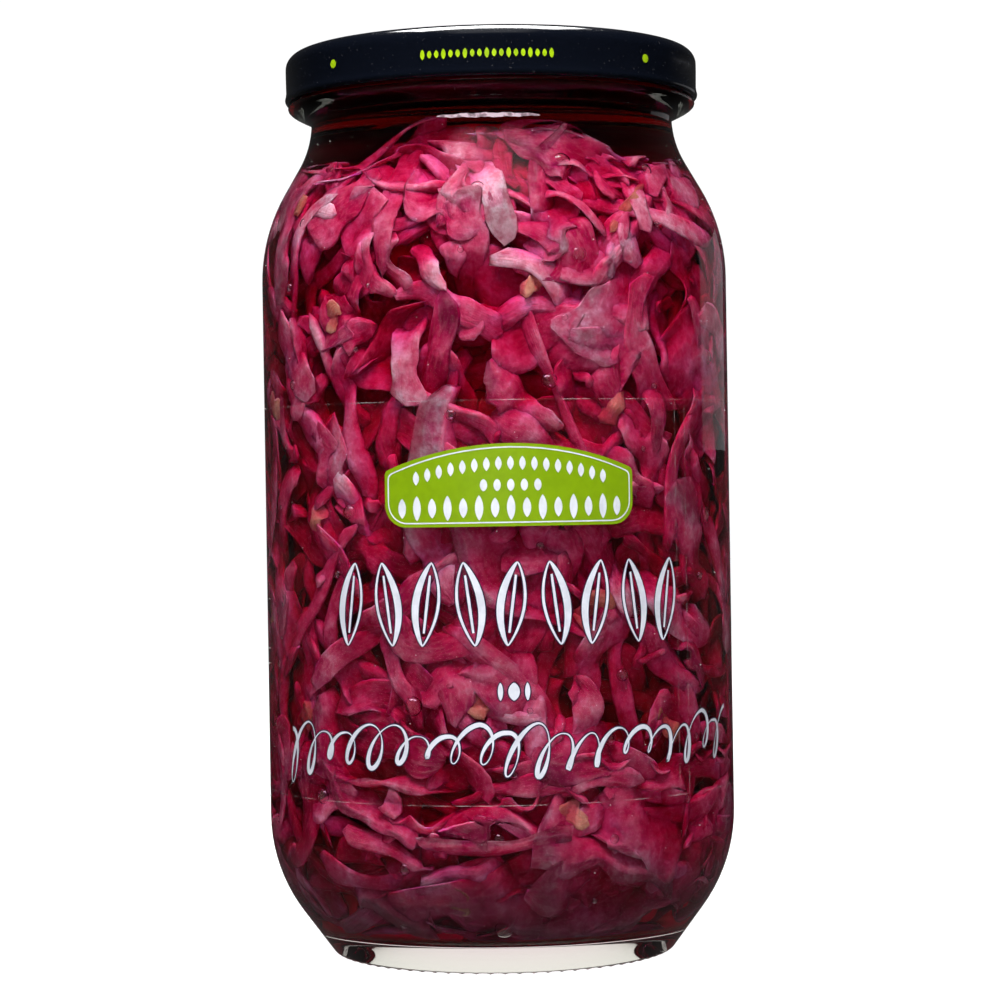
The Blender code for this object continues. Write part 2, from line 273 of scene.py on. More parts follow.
def linked(name, mesh, slot, material, *nodes):
    """Puts a mesh in the scene as a piece of the jar, with a material, in place of the named solids. The slot is not
    used.
    """
    result = bpy.data.objects.new(name, mesh)
    bpy.context.scene.collection.objects.link(result)
    result.data.materials.append(material)
    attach(result, "root")
    if nodes:
        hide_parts(*nodes)
    return result


def staged(name, shape, material):
    """Puts a bmesh in the scene as a part of the studio."""
    result = bpy.data.objects.new(name, mesh_of(name, shape))
    bpy.context.scene.collection.objects.link(result)
    result.data.materials.append(material)
    return result


def mesh_of(name, shape, sharp=None):
    """Makes a bmesh into a smooth-shaded mesh."""
    bmesh.ops.recalc_face_normals(shape, faces=shape.faces)
    mesh = bpy.data.meshes.new(name)
    shape.to_mesh(mesh)
    shape.free()
    mesh.shade_smooth()
    if sharp:
        mesh.set_sharp_from_angle(angle=sharp)
    return mesh


def turned(outline, steps):
    """A bmesh turned about Z from an outline."""
    shape = bmesh.new()
    points = [shape.verts.new((r, 0, z)) for r, z in outline]
    edges = [shape.edges.new(pair) for pair in zip(points, points[1:])]
    bmesh.ops.spin(shape, geom=points + edges, axis=(0, 0, 1), angle=math.tau, steps=steps)
    bmesh.ops.remove_doubles(shape, verts=shape.verts, dist=1e-7)
    return shape


def tube_faces(rings, ring):
    """The faces between neighbouring rings of a tube, whose points are numbered ring by ring."""
    row, here = np.arange(rings - 1)[:, None] * ring, np.arange(ring)
    after = (here + 1) % ring
    corners = [row + here, row + after, row + ring + after, row + ring + here]
    return np.stack(corners, axis=-1).reshape(-1, 4)


class Nodes:
    """A short way to build the node tree of a material, or of the world."""

    def __init__(self, name, world=False):
        self.owner = (bpy.data.worlds if world else bpy.data.materials).new(name)
        self.owner.use_nodes = True
        self.tree = self.owner.node_tree
        self.tree.nodes.clear()
        self.output = self.add("OutputWorld" if world else "OutputMaterial")

    def add(self, kind, inputs=None, **settings):
        """A node with its settings and inputs. An input is a value, a colour, or another node's output."""
        node = self.tree.nodes.new(f"ShaderNode{kind}")
        for key, value in settings.items():
            setattr(node, key, value)
        for key, value in (inputs or {}).items():
            socket = node.inputs[key]
            if isinstance(value, bpy.types.NodeSocket):
                self.tree.links.new(value, socket)
            else:
                socket.default_value = (*value, 1.0) if socket.type == "RGBA" else value
        return node

    def place(self, axis=None):
        """The place of the point being shaded, or how far along one axis it lies."""
        place = self.add("TexCoord").outputs["Object"]
        return self.add("SeparateXYZ", {"Vector": place}).outputs[axis] if axis else place

    def noise(self, scale, detail, roughness=0.5):
        """Noise in space, around 0.5."""
        inputs = {"Vector": self.place(), "Scale": scale, "Detail": detail, "Roughness": roughness}
        return self.add("TexNoise", inputs).outputs["Fac"]

    def bump(self, height, strength, distance):
        """The normal of a surface with a relief."""
        return self.add("Bump", {"Height": height, "Strength": strength, "Distance": distance}).outputs["Normal"]

    def ramp(self, factor, *stops):
        """A colour ramp of (position, colour) stops. A colour may be one number, for a grey."""
        node = self.add("ValToRGB", {"Fac": factor})
        elements = node.color_ramp.elements
        while len(elements) < len(stops):
            elements.new(0.5)
        for element, (position, colour) in zip(elements, stops):
            element.position = position
            element.color = (*np.broadcast_to(colour, 3).tolist(), 1.0)
        return node.outputs["Color"]

    def math(self, operation, *values):
        """A Math node's output."""
        return self.add("Math", dict(enumerate(values)), operation=operation).outputs[0]

    def mixed(self, factor, a, b, blend="MIX"):
        """Two colours mixed."""
        return self.add("Mix", {0: factor, 6: a, 7: b}, data_type="RGBA", blend_type=blend).outputs[2]

    def principled(self, colour, roughness, **inputs):
        """A Principled shader, whose other inputs are named with underscores for spaces."""
        values = {key.replace("_", " "): value for key, value in inputs.items()}
        return self.add("BsdfPrincipled", {"Base Color": colour, "Roughness": roughness, **values})

    def between(self, factor, a, b):
        """Two shaders mixed."""
        return self.add("MixShader", {0: factor, 1: a.outputs[0], 2: b.outputs[0]})

    def clear_for_lamps(self, shader):
        """The shader, made clear for the rays that carry light to what is behind it."""
        path = self.add("LightPath")
        factor = self.math("MAXIMUM", path.outputs["Is Shadow Ray"], path.outputs["Is Diffuse Ray"])
        return self.between(factor, shader, self.add("BsdfTransparent"))

    def done(self, shader, volume=None):
        """Links the shader to the output and returns the material or the world."""
        self.tree.links.new(shader.outputs[0], self.output.inputs["Surface"])
        if volume:
            self.tree.links.new(volume.outputs[0], self.output.inputs["Volume"])
        return self.owner


def glass_material(name, ior, ripple):
    """Clear glass. The ripple is a slight unevenness of its surface."""
    nodes = Nodes(name)
    normal = nodes.bump(nodes.noise(38.0, 1.0, 0.4), ripple, 0.6 * MM)
    shader = nodes.principled((0.985, 0.995, 0.985), 0.0, IOR=ior, Transmission_Weight=1.0, Normal=normal)
    return nodes.done(nodes.clear_for_lamps(shader))


def brine_material():
    """Red brine. The glass bends the light at its wet side, so the brine itself bends it no more."""
    nodes = Nodes("brine")
    shader = nodes.principled((1.0, 1.0, 1.0), 0.0, IOR=1.0, Transmission_Weight=1.0)
    absorption = nodes.add("VolumeAbsorption", {"Color": BRINE_COLOUR, "Density": BRINE_DENSITY})
    return nodes.done(nodes.clear_for_lamps(shader), absorption)


def cabbage_material(name, stops, vein):
    """Wet leaf: a tone for each shred, paler veins along it, blotches, and painted shade: darker and redder with
    depth behind the glass, and darker and greyer near the jar's foot.
    """
    nodes = Nodes(name)
    tone, depth = (nodes.add("Attribute", attribute_name=key).outputs["Fac"] for key in ("tone", "depth"))
    strip = nodes.add("UVMap", uv_map="strip").outputs["UV"]
    along = nodes.add("Mapping", {"Vector": strip, "Scale": (0.16, 2.2, 1.0)}).outputs[0]
    veins = nodes.add("TexNoise", {"Vector": along, "Scale": 2.2, "Detail": 4.0, "Distortion": 0.35}).outputs["Fac"]
    blotches, mottle, fibres = nodes.noise(115.0, 4.0, 0.62), nodes.noise(380.0, 3.0, 0.65), nodes.noise(1400.0, 2.0)
    shift = nodes.math("MULTIPLY_ADD", blotches, 1.7, -1.35)
    shift = nodes.math("MULTIPLY_ADD", mottle, 1.0, shift)
    colour = nodes.ramp(nodes.math("ADD", tone, shift), *stops)
    line = nodes.ramp(veins, (0.48, 0.0), (0.75, 1.0))
    colour = nodes.mixed(nodes.math("MULTIPLY", line, vein), colour, (0.55, 0.22, 0.25))
    fleck = nodes.ramp(fibres, (0.35, (0.82, 0.74, 0.76)), (0.62, 1.0))
    colour = nodes.mixed(0.7, colour, fleck, "MULTIPLY")
    # Painted shade: shreds further from the glass are made darker and redder, as if shaded by the shreds and brine
    # in front.
    sunk = nodes.ramp(depth, (0.0, 1.0), (0.35, (0.96, 0.62, 0.72)), (1.0, (0.95, 0.16, 0.34)))
    colour = nodes.mixed(1.0, colour, sunk, "MULTIPLY")
    # Painted shade: the colour is darkened and greyed towards the jar's foot, where little light reaches.
    low = nodes.add("MapRange", {"Value": nodes.place("Z"), "From Min": 6 * MM, "From Max": 27 * MM}).outputs[0]
    foot = nodes.ramp(low, (0.0, (0.16, 0.17, 0.19)), (0.5, (0.34, 0.36, 0.38)), (1.0, 1.0))
    colour = nodes.mixed(1.0, colour, foot, "MULTIPLY")
    relief = nodes.math("MULTIPLY_ADD", veins, 0.4, blotches)
    relief = nodes.math("MULTIPLY_ADD", mottle, 0.35, relief)
    shader = nodes.principled(
        colour,
        0.42,
        Specular_IOR_Level=0.12,
        Subsurface_Weight=0.65,
        Subsurface_Radius=(1.0, 0.35, 0.45),
        Subsurface_Scale=3.2 * MM,
        Normal=nodes.bump(relief, 0.8, 0.8 * MM),
    )
    return nodes.done(shader)


def core_material():
    """The wet middle of the heap, with painted light: its colour is bright higher up, where the lamps reach it, and
    dark lower down, as painted shade.
    """
    nodes = Nodes("heap_core")
    noise = nodes.noise(120.0, 4.0)
    low = nodes.ramp(noise, (0.3, (0.16, 0.0006, 0.016)), (0.7, (0.42, 0.004, 0.045)))
    high = nodes.ramp(noise, (0.3, (0.78, 0.004, 0.085)), (0.7, (1.0, 0.022, 0.160)))
    # Painted light and shade by height: dark below, bright above.
    painted_light_by_height = nodes.add("MapRange", {"Value": nodes.place("Z"), "From Min": 85 * MM, "From Max": 125 * MM}).outputs[0]
    return nodes.done(nodes.principled(nodes.mixed(painted_light_by_height, low, high), 0.5, Specular_IOR_Level=0.1))


def lacquer_material():
    """Black lacquer on tinplate, with a faint ripple and dust."""
    nodes = Nodes("lid_lacquer")
    specks = nodes.ramp(nodes.noise(1500.0, 2.0, 0.7), (0.66, 0.0), (0.74, 1.0))
    colour = nodes.mixed(nodes.math("MULTIPLY", specks, 0.10), (0.0020, 0.0028, 0.0054), (0.16, 0.15, 0.15))
    rough = nodes.math("MULTIPLY_ADD", specks, 0.25, 0.13)
    normal = nodes.bump(nodes.noise(260.0, 2.0), 0.10, 0.4 * MM)
    return nodes.done(nodes.principled(colour, rough, IOR=1.5, Normal=normal))


def film_material():
    """The clear film: nearly nothing, with a little haze."""
    nodes = Nodes("label_film")
    cover = nodes.math("MULTIPLY_ADD", nodes.noise(60.0, 3.0), 0.004, -0.0012)
    return nodes.done(nodes.principled((0.75, 0.72, 0.75), 0.2, Alpha=cover))


def film_edge_material():
    """The film's cut edges as pale broken lines, a painted highlight where they catch the light here and there."""
    nodes = Nodes("film_edge")
    opacity = nodes.ramp(nodes.noise(300.0, 3.0), (0.42, 0.02), (0.66, 0.34))
    # The pale colour is a painted highlight on the edges.
    light = nodes.add("BsdfDiffuse", {"Color": (0.75, 0.66, 0.68)})
    return nodes.done(nodes.between(opacity, nodes.add("BsdfTransparent"), light))


def ink_material(name, colour, darker, scale):
    """Printing ink, with slightly uneven cover."""
    nodes = Nodes(name)
    cover = nodes.ramp(nodes.noise(scale, 3.0), (0.35, darker), (0.6, colour))
    return nodes.done(nodes.principled(cover, 0.35))


def bubble_material():
    """Air in brine, slightly dulled so that the lamps leave a glint."""
    nodes = Nodes("bubble")
    shader = nodes.principled((0.70, 0.56, 0.60), 0.16, IOR=1.0 / BRINE_IOR, Transmission_Weight=1.0)
    return nodes.done(nodes.clear_for_lamps(shader))


def painted_highlight_line_material():
    """A thin pale line that glows, broken in places: a painted highlight."""
    nodes = Nodes("painted_highlight_line")
    cover = nodes.ramp(nodes.noise(900.0, 2.0), (0.36, 0.35), (0.55, 1.0))
    # The emission makes the line glow though it is no lamp: a painted highlight.
    glow = {"Emission_Color": (1.0, 0.80, 0.88), "Emission_Strength": 0.42}
    return nodes.done(nodes.principled((0.85, 0.75, 0.80), 0.3, Alpha=cover, **glow))


def jar_glass():
    """The glass, with a ring of studs moulded round its foot."""
    inside = arc((BORE_RADIUS + RIM_ROUNDING, RIM_HEIGHT - RIM_ROUNDING), RIM_ROUNDING, QUARTER, math.pi, 4)
    shape = turned(jar_outside() + inside + jar_inside() + floor_outline(), GLASS_STEPS)
    for vertex in shape.verts:
        ring = 1 - min(abs(math.hypot(vertex.co.x, vertex.co.y) - STUD_RADIUS) / STUD_REACH, 1)
        if ring > 0 and vertex.co.z <= STUD_TOP:
            stud = 0.5 + 0.5 * math.cos(STUD_COUNT * math.atan2(vertex.co.y, vertex.co.x))
            vertex.co.z += STUD_DEPTH * (1 - stud) * min(2 * ring, 1)
    for face in [face for face in shape.faces if is_wet(face)]:
        face.material_index = 1
    dry, wet = glass_material("jar_glass", GLASS_IOR, 0.05), glass_material("wet_glass", WET_GLASS_IOR, 0.02)
    result = linked("glass_jar", mesh_of("glass_jar", shape), "jar_glass", dry, "jar_glass")
    result.data.materials.append(wet)


def is_wet(face):
    """Whether a face of the glass lies on the inner wall or the floor, in the brine."""
    middle = face.calc_center_median()
    on_wall = math.hypot(middle.x, middle.y) < inner_radius(middle.z) + 0.4 * MM
    return on_wall and FLOOR_EDGE - 0.5 * MM < middle.z < BRINE_TOP


def brine():
    """The liquid round the shreds."""
    outline = [(0, BRINE_TOP), (BORE_RADIUS + BRINE_REACH, BRINE_TOP)]
    outline += jar_inside(BRINE_REACH) + floor_outline(BRINE_REACH)
    linked("brine", mesh_of("brine", turned(outline, 160)), "jar_glass", brine_material())


def lid_outline():
    """The outlines (r, z) of the lid's flat top, and of its rim, round its curl and back up inside."""
    corner = (SKIRT_RADIUS - LID_CORNER, LID_TOP - LID_CORNER)
    panel = LID_TOP - PANEL_DROP
    button_edge = ((-2.4, 1.0), (-1.6, 0.85), (-0.6, 0.15), (0.4, 0.0))
    panel_edge = ((-1.0, 0.0), (-0.5, 0.18), (0.2, 0.82), (1.0, 1.0))
    top = [(0, panel + BUTTON_RISE)]
    top += [(BUTTON_RADIUS + out * BUTTON_RISE, panel + up * BUTTON_RISE) for out, up in button_edge]
    top += [(PANEL_RADIUS + out * PANEL_SLOPE, panel + up * PANEL_DROP) for out, up in panel_edge]
    rounded = arc(corner, LID_CORNER, QUARTER, 0, 12)
    curl_centre = (LID_RADIUS - CURL_RADIUS, LID_BASE + CURL_RADIUS)
    curl = arc(curl_centre, CURL_RADIUS, math.radians(30), math.radians(-240), 18)
    skirt_foot = LID_BASE + 2.6 * CURL_RADIUS
    skirt = [(SKIRT_RADIUS, LID_TOP - LID_CORNER - 1.5 * MM), (SKIRT_RADIUS - 0.05 * MM, skirt_foot)]
    under = panel - LID_SHEET
    inside = [(SKIRT_RADIUS - LID_SHEET, skirt_foot)] + arc(corner, LID_CORNER - LID_SHEET, 0, QUARTER, 6)
    inside += [(PANEL_RADIUS + LID_SHEET, LID_TOP - LID_SHEET), (PANEL_RADIUS - PANEL_SLOPE, under), (0, under)]
    return top + rounded[:1], rounded + skirt + curl + inside


def lid():
    """The lid's rim, and its flat top, which the camera does not see. Returns the top."""
    lacquer = lacquer_material()
    pieces = []
    for name, outline in zip(("lid_top", "lid_rim"), lid_outline()):
        mesh = mesh_of(name, turned(outline, LID_STEPS), math.radians(50))
        pieces.append(linked(name, mesh, "lid", lacquer, "lid"))
    return pieces[0]


class Wall:
    """The jar's inner wall unrolled: a length up from the floor's edge gives a radius and a height."""

    def __init__(self):
        points = np.array(jar_inside()[::-1])
        lengths = np.concatenate([[0], np.cumsum(np.hypot(*np.diff(points, axis=0).T))])
        self.even = np.linspace(0, lengths[-1], 400)
        self.radii, self.heights = (np.interp(self.even, lengths, points[:, axis]) for axis in (0, 1))
        self.rise, self.run = np.gradient(self.heights, self.even), np.gradient(self.radii, self.even)
        self.top = float(np.interp(HEAP_TOP, self.heights, self.even))

    def top_at(self, angle):
        """The heap's top, which stands high at the front and the back."""
        away = np.abs(np.mod(angle + math.pi, math.tau) - math.pi)
        fall = np.clip((away - 0.34) / 0.5, 0, 1) * np.clip((1.9 - away) / 0.5, 0, 1)
        return self.top - HEAP_SAG * (0.5 - 0.5 * np.cos(math.pi * fall))

    def place(self, angle, length, inset, drop=0.0):
        """Points at angles round the jar, lengths up the wall, and insets from it, kept under the heap's top."""
        top, softness = self.top_at(angle) - drop, 1.6 * MM
        length = np.clip(top - softness * np.logaddexp(0, (top - length) / softness), 0, None)
        radius = self.radius_at(length) - inset * np.interp(length, self.even, self.rise)
        height = np.interp(length, self.even, self.heights) + inset * np.interp(length, self.even, self.run)
        return np.stack([radius * np.sin(angle), -radius * np.cos(angle), height], axis=-1)

    def radius_at(self, length):
        return np.interp(length, self.even, self.radii)


# A shred that lies straight and flat. bend, skew, roll and twist turn it, in radians; tilt and ruffle are depths;
# curl is the depth of its section's bow as a share of its width; corner rounds its section and blunt its ends; and
# ragged is how uneven its sides are.
PLAIN = {"bend": 0.0, "skew": 0.0, "roll": 0.0, "twist": 0.0, "tilt": 0.0, "curl": 0.0, "ruffle": 0.0, "waves": 7.0,
         "blunt": 8, "corner": 0.55, "ragged": 0.26}


class Strips:
    """Many shreds of one kind, gathered as one mesh. ring is the number of points round a shred."""

    def __init__(self, wall, ring, rows):
        self.wall, self.ring, self.rows = wall, ring, rows
        self.points, self.tones, self.depths, self.uvs = [], [], [], []

    def add(self, draw, angle, up, heading, length, width, thickness, inset, tone, **changes):
        """One shred: centred at an angle and a length up the wall, with a curled, waving section."""

        def wave(size, slowest, fastest):
            return size * np.sin(draw.uniform(slowest, fastest) * t + draw.uniform(0, math.tau))

        form = PLAIN | changes
        t = np.linspace(-1, 1, self.rows)[:, None]
        around = np.linspace(0, math.tau, self.ring, endpoint=False)[None, :]
        way = heading + form["bend"] * t + wave(0.22, 2, 5)
        step = length / (self.rows - 1)
        run = np.cumsum(np.cos(way), axis=0) * step
        climb = np.cumsum(np.sin(way), axis=0) * step
        run, climb = run - run[self.rows // 2], climb - climb[self.rows // 2]
        taper = np.clip(1 - np.abs(t) ** form["blunt"], 0, 1) ** 0.5
        circle = (np.cos(around), np.sin(around))
        side, out = (np.sign(part) * np.abs(part) ** form["corner"] for part in circle)
        left, right = (1 + wave(form["ragged"], 1, 3) + wave(0.5 * form["ragged"], 5, 9) for _ in range(2))
        across = 0.5 * width * np.maximum(taper, 0.02) * np.where(side > 0, left, right) * side
        slant = form["skew"] * across * t**2 * np.sign(t)
        turn = form["roll"] + form["twist"] * t + wave(0.5 * form["twist"], 2, 4)
        depth = -out * 0.5 * thickness * np.maximum(taper, 0.05) + form["curl"] * width * (side**2 - 0.4)
        hem = sum(np.sin(form["waves"] * t + draw.uniform(0, 6)) * half for half in (side > 0, side < 0))
        depth = depth + form["ruffle"] * hem * np.abs(side) ** 1.5
        sideways = across * np.cos(turn) + depth * np.sin(turn)
        sunk = depth * np.cos(turn) - across * np.sin(turn)
        u = run + slant * np.cos(way) - sideways * np.sin(way)
        s = climb + slant * np.sin(way) + sideways * np.cos(way)
        crinkle = 0.22 * MM * np.sin(draw.uniform(9, 16) * t + draw.uniform(1, 3) * side + draw.uniform(0, 6))
        deep = inset + sunk + wave(0.7 * MM, 2, 5) + crinkle + form["tilt"] * t
        nearest, softness = 0.15 * MM, 0.3 * MM
        deep = nearest + np.logaddexp(0, (deep - nearest) / softness) * softness
        local_radius = np.maximum(self.wall.radius_at(up + s), 20 * MM)
        place = self.wall.place(angle + u / local_radius, up + s, deep, draw.uniform(0, 5) ** 2 * 0.22 * MM)
        place[..., 2] = np.clip(place[..., 2], FLOOR_EDGE + 0.9 * FLOOR_DOME + 0.4 * MM, None)
        self.points.append(place.reshape(-1, 3))
        self.tones.append(np.full(self.rows * self.ring, tone))
        self.depths.append((deep / (10 * MM)).ravel())
        offset = draw.uniform(0, 100)
        strip = np.broadcast_arrays(500 * length * t + offset, side + offset)
        self.uvs.append(np.stack(strip, axis=-1).reshape(-1, 2))

    def mesh(self, name):
        """All the shreds as one mesh, with a tone for each and a map along and across it."""
        count, per = len(self.points), self.rows * self.ring
        faces = tube_faces(self.rows, self.ring)[None] + (np.arange(count) * per)[:, None, None]
        caps = []
        for first in range(0, count * per, per):
            caps.append(list(range(first + self.ring - 1, first - 1, -1)))
            caps.append(list(range(first + per - self.ring, first + per)))
        mesh = bpy.data.meshes.new(name)
        mesh.from_pydata(np.concatenate(self.points).tolist(), [], faces.reshape(-1, 4).tolist() + caps)
        for key, values in (("tone", self.tones), ("depth", self.depths)):
            attribute = mesh.attributes.new(key, "FLOAT", "POINT")
            attribute.data.foreach_set("value", np.concatenate(values).astype(np.float32))
        corners = np.empty(len(mesh.loops), np.int32)
        mesh.loops.foreach_get("vertex_index", corners)
        layer = mesh.uv_layers.new(name="strip")
        layer.data.foreach_set("uv", np.concatenate(self.uvs)[corners].astype(np.float32).ravel())
        mesh.shade_smooth()
        return mesh

    def show(self, name, colours, vein):
        """Puts the shreds in the scene, with veins of a strength."""
        linked(name, self.mesh(name), "cabbage", cabbage_material(name, colours, vein), "cabbage")


def lie(angle, up):
    """The turn that neighbouring shreds share, so that they lie in bundles."""
    return 0.62 * math.sin(5 * angle - 0.9 + 70 * up) + 0.48 * math.sin(9 * angle + 2.1 - 112 * up)


def heap():
    """The shreds in layers behind the glass, over a dark core."""
    wall = Wall()
    draw = random.Random(HEAP_SEED)
    strips, shreds = Strips(wall, 10, 18), Strips(wall, 12, 18)
    ribs, leaves = Strips(wall, 10, 14), Strips(wall, 16, 24)
    index = 0
    for count, near, far, lowest in LAYERS:
        for _ in range(count):
            index += 1
            angle = math.tau * (index * SPREAD_AROUND % 1)
            up = wall.top * (lowest + (0.99 - lowest) * (index * SPREAD_UP % 1))
            inset = near + (far - near) * draw.random()
            low = up < FLAT_SHARE * wall.top
            across = draw.random() < 0.22
            rise = 0.0 if low else QUARTER + 0.25 + (1.1 if across else 0.0)
            heading = draw.gauss(rise + (0.4 if low else 1.0) * lie(angle, up), 0.30)
            bright = min(max((up / wall.top - 0.62) / 0.2, 0), 1)
            tone = min(max(draw.gauss(0.45 + 0.14 * bright, 0.14), 0.05), 0.95)
            kind = draw.random()
            form = {"bend": draw.gauss(0, 0.4), "skew": draw.gauss(0, 0.8), "roll": draw.gauss(0, 0.30)}
            form |= {"twist": draw.gauss(0, 0.40), "tilt": draw.gauss(0, 1.6) * MM}
            form |= {"curl": draw.gauss(0.02, 0.09), "blunt": draw.choice((5, 8, 12, 20))}
            if kind < RIBS_TO:
                group, shortest, longest = ribs, 12, 30
                width, thick = draw.uniform(3.4, 6.6) * MM, draw.uniform(1.8, 2.9) * MM
                form |= {"corner": 0.7, "ragged": 0.26, "curl": 0.0}
                tone += 0.16
            elif kind < (LEAVES_TO_AT_FOOT if low else LEAVES_TO):
                group, shortest, longest = leaves, 18, 38
                width, thick = (draw.uniform(9, 18) if low else draw.uniform(8, 14)) * MM, 0.8 * MM
                form |= {"corner": 0.4, "ruffle": draw.uniform(0.5, 2.0) * MM, "waves": draw.uniform(5, 11)}
                if low:
                    form["roll"] = draw.gauss(0, 0.7)
                inset += 0.2 * MM
                tone -= 0.03
            elif kind < STRIPS_TO:
                group, shortest, longest = strips, 18, 46
                width, thick = draw.uniform(2.8, 5.4) * MM, draw.uniform(1.0, 1.7) * MM
                form |= {"ragged": 0.34, "ruffle": draw.uniform(0, 0.6) * MM, "waves": draw.uniform(5, 12)}
            else:
                group, shortest, longest = shreds, 16, 38
                width, thick = draw.uniform(5.0, 8.2) * MM, draw.uniform(1.0, 1.8) * MM
                form |= {"ruffle": draw.uniform(0.3, 1.3) * MM, "ragged": 0.30, "waves": draw.uniform(4, 11)}
            length = draw.uniform(shortest, longest) * MM
            group.add(draw, angle, up, heading, length, width, thick, inset + 0.5 * thick, tone, **form)
    scraps, flecks = scraps_of(wall, draw), flecks_of(wall, draw)
    kinds = (("strips", strips, 0.20), ("shreds", shreds, 0.22), ("ribs", ribs, 0.30), ("leaves", leaves, 0.34))
    for name, kind, vein in (*kinds, ("scraps", scraps, 0.20), ("flecks", flecks, 0.20)):
        kind.show(f"cabbage_{name}", TAN if kind is flecks else LEAF, vein)
    core(wall, draw)


def scraps_of(wall, draw):
    """Short pieces of leaf between the shreds."""
    scraps = Strips(wall, 10, 9)
    for k in range(SCRAP_COUNT):
        angle = math.tau * ((k + 0.5) * SPREAD_UP % 1)
        up = wall.top * (0.03 + 0.95 * (k * SPREAD_AROUND % 1))
        size = draw.uniform(5.0, 11.0) * MM
        scraps.add(draw, angle, up, draw.uniform(0, math.pi), size, draw.uniform(0.3, 0.6) * size,
                   draw.uniform(1.1, 2.2) * MM, draw.uniform(1.0, 5.5) * MM, draw.gauss(0.50, 0.18),
                   bend=draw.gauss(0, 0.5), skew=draw.gauss(0, 1.0), roll=draw.gauss(0, 0.5), ragged=0.3,
                   curl=draw.gauss(0, 0.12), blunt=draw.choice((4, 6, 8)), tilt=draw.gauss(0, 1.0) * MM)
    return scraps


def flecks_of(wall, draw):
    """Tan bits and strands near the glass."""
    flecks = Strips(wall, 10, 14)
    for k in range(FLECK_COUNT):
        angle = math.tau * (k * SPREAD_AROUND % 1) - 0.2
        up = wall.top * (0.08 + 0.84 * (k * SPREAD_UP % 1))
        strand = draw.random() < 0.35
        size = draw.uniform(12, 20) * MM if strand else draw.uniform(5.0, 9.5) * MM
        width = draw.uniform(2.2, 3.4) * MM if strand else draw.uniform(0.5, 0.75) * size
        flecks.add(draw, angle, up, draw.uniform(0, math.pi), size, width, 0.9 * MM, draw.uniform(0.5, 1.6) * MM,
                   draw.uniform(0.25, 0.9), blunt=6, curl=draw.gauss(0, 0.1), bend=draw.gauss(0, 0.4), ragged=0.34)
    return flecks


def core(wall, draw):
    """The dark middle of the heap, with ridges like the shreds in front of it."""
    steps, levels = 160, 150
    angles = np.linspace(0, math.tau, steps, endpoint=False)[None, :]
    lengths = np.linspace(0.5 * MM, wall.top, levels)[:, None]
    ridges = np.zeros((levels, steps))
    for _ in range(14):
        turns, rise, phase = draw.randint(3, 22), draw.uniform(-500, 500), draw.uniform(0, 6)
        ridges += np.sin(turns * angles + rise * lengths + phase)
    inset = (CORE_INSET + 0.35 * MM * ridges) * np.clip(0.22 + lengths / (28 * MM), 0, 1)
    points = wall.place(angles, lengths, inset).reshape(-1, 3)
    caps = [list(range(steps - 1, -1, -1)), list(range((levels - 1) * steps, levels * steps))]
    mesh = bpy.data.meshes.new("heap_core")
    mesh.from_pydata(points.tolist(), [], tube_faces(levels, steps).tolist() + caps)
    mesh.shade_smooth()
    linked("heap_core", mesh, "cabbage", core_material(), "cabbage")


def bubbles():
    """Air bubbles caught against the glass and between the shreds. Returns them."""
    draw = random.Random(23)
    wall = Wall()
    shape = bmesh.new()
    for k in range(BUBBLE_COUNT):
        angle = math.tau * (k * SPREAD_AROUND % 1)
        length = wall.top * (0.04 + 0.93 * (k * SPREAD_UP % 1))
        size = (0.55 + 1.45 * draw.random() ** 1.7) * MM
        centre = wall.place(angle, length, BUBBLE_FLAT * size + 0.06 * MM)
        pressed = Matrix.Diagonal((1, BUBBLE_FLAT, draw.uniform(0.85, 1.1), 1))
        matrix = Matrix.Translation(Vector(centre.tolist())) @ Matrix.Rotation(angle, 4, "Z") @ pressed
        bmesh.ops.create_icosphere(shape, subdivisions=3, radius=size, matrix=matrix)
    return linked("bubbles", mesh_of("bubbles", shape), "jar_glass", bubble_material())


def ladder(shape, pairs):
    """Faces between neighbouring pairs of points."""
    pairs = [[shape.verts.new(point) for point in pair] for pair in pairs]
    for (a, b), (c, d) in zip(pairs, pairs[1:]):
        shape.faces.new((a, c, d, b))


def painted_highlight_line():
    """The thin pale line where the liquid meets the neck, at the front: a painted highlight."""
    shape = bmesh.new()
    pairs = []
    for k in range(61):
        angle = HIGHLIGHT_LINE_START + HIGHLIGHT_LINE_ANGLE * k / 60
        half = HIGHLIGHT_LINE_HALF * math.sin(math.pi * k / 60) ** 0.4 * (0.9 + 0.1 * math.sin(5.0 * k))
        middle = HIGHLIGHT_LINE_HEIGHT + 0.08 * MM * math.sin(0.5 * k)
        pairs.append([round_jar(angle, inner_radius(z) - 0.12 * MM, z) for z in (middle - half, middle + half)])
    ladder(shape, pairs)
    linked("painted_highlight_line", mesh_of("painted_highlight_line", shape), "jar_glass", painted_highlight_line_material())


